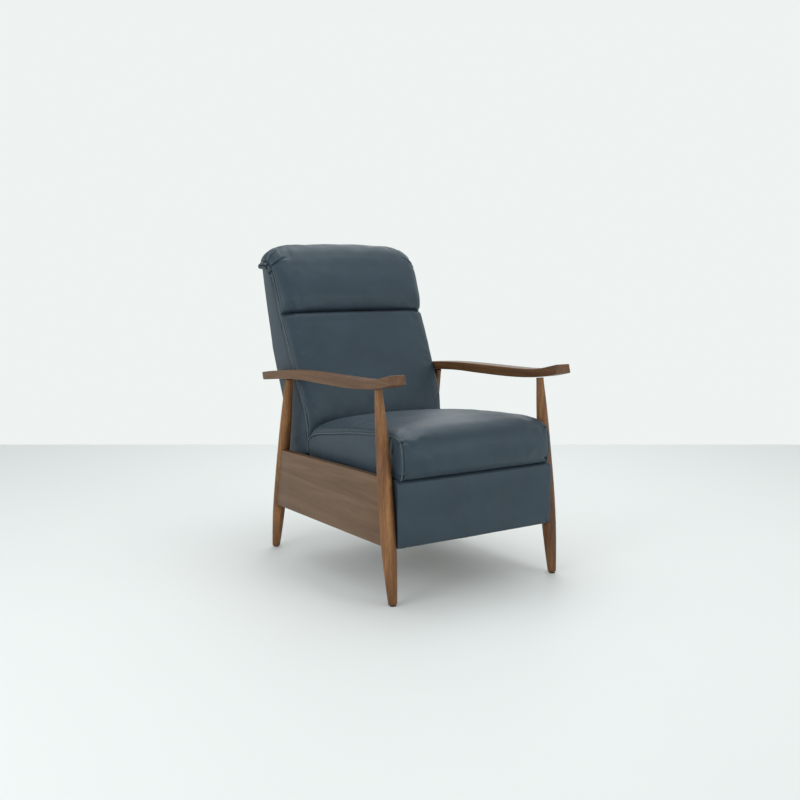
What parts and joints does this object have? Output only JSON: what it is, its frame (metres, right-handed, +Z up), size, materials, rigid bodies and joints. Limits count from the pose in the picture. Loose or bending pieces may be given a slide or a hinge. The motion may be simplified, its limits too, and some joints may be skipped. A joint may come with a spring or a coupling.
{
  "type": "recliner armchair",
  "caption": "Push-back recliner armchair with curved wooden arms on tapering legs, a padded seat, a reclining back with a headrest roll and a footrest that swings out on steel links.",
  "frame": {"origin": "on the floor, under the middle of the chair's width and depth", "axes": "+Z up, -Y towards the front of the chair, +X towards the sitter's left"},
  "size_m": [0.64, 0.8972, 1.0105],
  "materials": {
    "wood": "satin",
    "plywood": "matte",
    "leather": "satin",
    "steel": "satin",
    "webbing": "matte",
    "glide": "matte"
  },
  "bodies": {
    "base": {"front_leg_left": "wood", "front_leg_right": "wood", "rear_leg_left": "wood", "rear_leg_right": "wood", "front_glide_left": "glide", "front_glide_right": "glide", "rear_glide_left": "glide", "rear_glide_right": "glide", "armrest_left": "wood", "armrest_right": "wood", "side_panel_left": "wood", "side_panel_right": "wood", "base_plate_left": "steel", "base_plate_right": "steel", "front_stretcher": "plywood", "rear_rail": "plywood"},
    "front_swing_links": {"front_swing_link_left": "steel", "front_swing_link_right": "steel"},
    "rear_swing_links": {"rear_swing_link_left": "steel", "rear_swing_link_right": "steel"},
    "seat": {"seat_cushion": "leather", "seat_front_rail": "plywood", "seat_rear_rail": "plywood", "seat_side_rail_left": "plywood", "seat_side_rail_right": "plywood", "seat_plate_left": "steel", "seat_plate_right": "steel", "seat_spring_1": "steel", "seat_spring_2": "steel", "seat_spring_3": "steel", "seat_spring_4": "steel", "seat_spring_5": "steel"},
    "footrest_front_links": {"footrest_front_link_left": "steel", "footrest_front_link_right": "steel"},
    "footrest_rear_links": {"footrest_rear_link_left": "steel", "footrest_rear_link_right": "steel", "footrest_cross_tube": "steel"},
    "footrest_long_links": {"footrest_long_link_left": "steel", "footrest_long_link_right": "steel"},
    "footrest_short_links": {"footrest_short_link_left": "steel", "footrest_short_link_right": "steel"},
    "footrest": {"footrest_pad": "leather", "footrest_board": "plywood", "footrest_bracket_left": "steel", "footrest_bracket_right": "steel"},
    "back": {"back_cushion": "leather", "headrest_pillow": "leather", "back_rear_cover": "leather", "back_lower_rail": "plywood", "back_middle_rail": "plywood", "back_top_rail": "plywood", "back_side_board_left": "plywood", "back_side_board_right": "plywood", "back_bracket_left": "steel", "back_bracket_right": "steel", "back_webbing_1": "webbing", "back_webbing_2": "webbing", "back_webbing_3": "webbing"}
  },
  "joints": [
    {"name": "seat_swing", "type": "hinge", "parent": "base", "child": "front_swing_links", "pos_m": [0, -0.28834, 0.2104], "axis": [1, 0, 0], "range_deg": [0, 45]},
    {"name": "rear_link_swing", "type": "hinge", "parent": "base", "child": "rear_swing_links", "pos_m": [0, -0.01834, 0.2204], "axis": [1, 0, 0], "range_deg": [0, 45.5]},
    {"name": "seat_level", "type": "hinge", "parent": "front_swing_links", "child": "seat", "pos_m": [0, -0.20564, 0.275], "axis": [1, 0, 0], "range_deg": [-45.5, 0]},
    {"name": "footrest_front_link_pivot", "type": "hinge", "parent": "seat", "child": "footrest_front_links", "pos_m": [0, -0.29624, 0.3163], "axis": [1, 0, 0], "range_deg": [-110.8, 0]},
    {"name": "footrest_rear_link_pivot", "type": "hinge", "parent": "seat", "child": "footrest_rear_links", "pos_m": [0, -0.25694, 0.316], "axis": [1, 0, 0], "range_deg": [-109.5, 0]},
    {"name": "footrest_long_link_pivot", "type": "hinge", "parent": "footrest_front_links", "child": "footrest_long_links", "pos_m": [0, -0.22994, 0.2417], "axis": [1, 0, 0], "range_deg": [0, 124.8]},
    {"name": "footrest_short_link_pivot", "type": "hinge", "parent": "footrest_front_links", "child": "footrest_short_links", "pos_m": [0, -0.22324, 0.2095], "axis": [1, 0, 0], "range_deg": [0, 123.5]},
    {"name": "footrest_pivot", "type": "hinge", "parent": "footrest_long_links", "child": "footrest", "pos_m": [0, -0.36784, 0.3202], "axis": [1, 0, 0], "range_deg": [-108.9, 0]},
    {"name": "back_recline", "type": "hinge", "parent": "seat", "child": "back", "pos_m": [0, 0.14636, 0.329], "axis": [-1, 0, 0], "range_deg": [0, 25]}
  ],
  "couplings": [
    {"joint": "rear_link_swing", "follows": "seat_swing", "ratio": 1},
    {"joint": "seat_level", "follows": "seat_swing", "ratio": -1},
    {"joint": "footrest_front_link_pivot", "follows": "seat_swing", "ratio": -2.4511},
    {"joint": "footrest_rear_link_pivot", "follows": "seat_swing", "ratio": -2.4222},
    {"joint": "footrest_long_link_pivot", "follows": "seat_swing", "ratio": 2.7622},
    {"joint": "footrest_short_link_pivot", "follows": "seat_swing", "ratio": 2.7333},
    {"joint": "footrest_pivot", "follows": "seat_swing", "ratio": -2.4089}
  ]
}
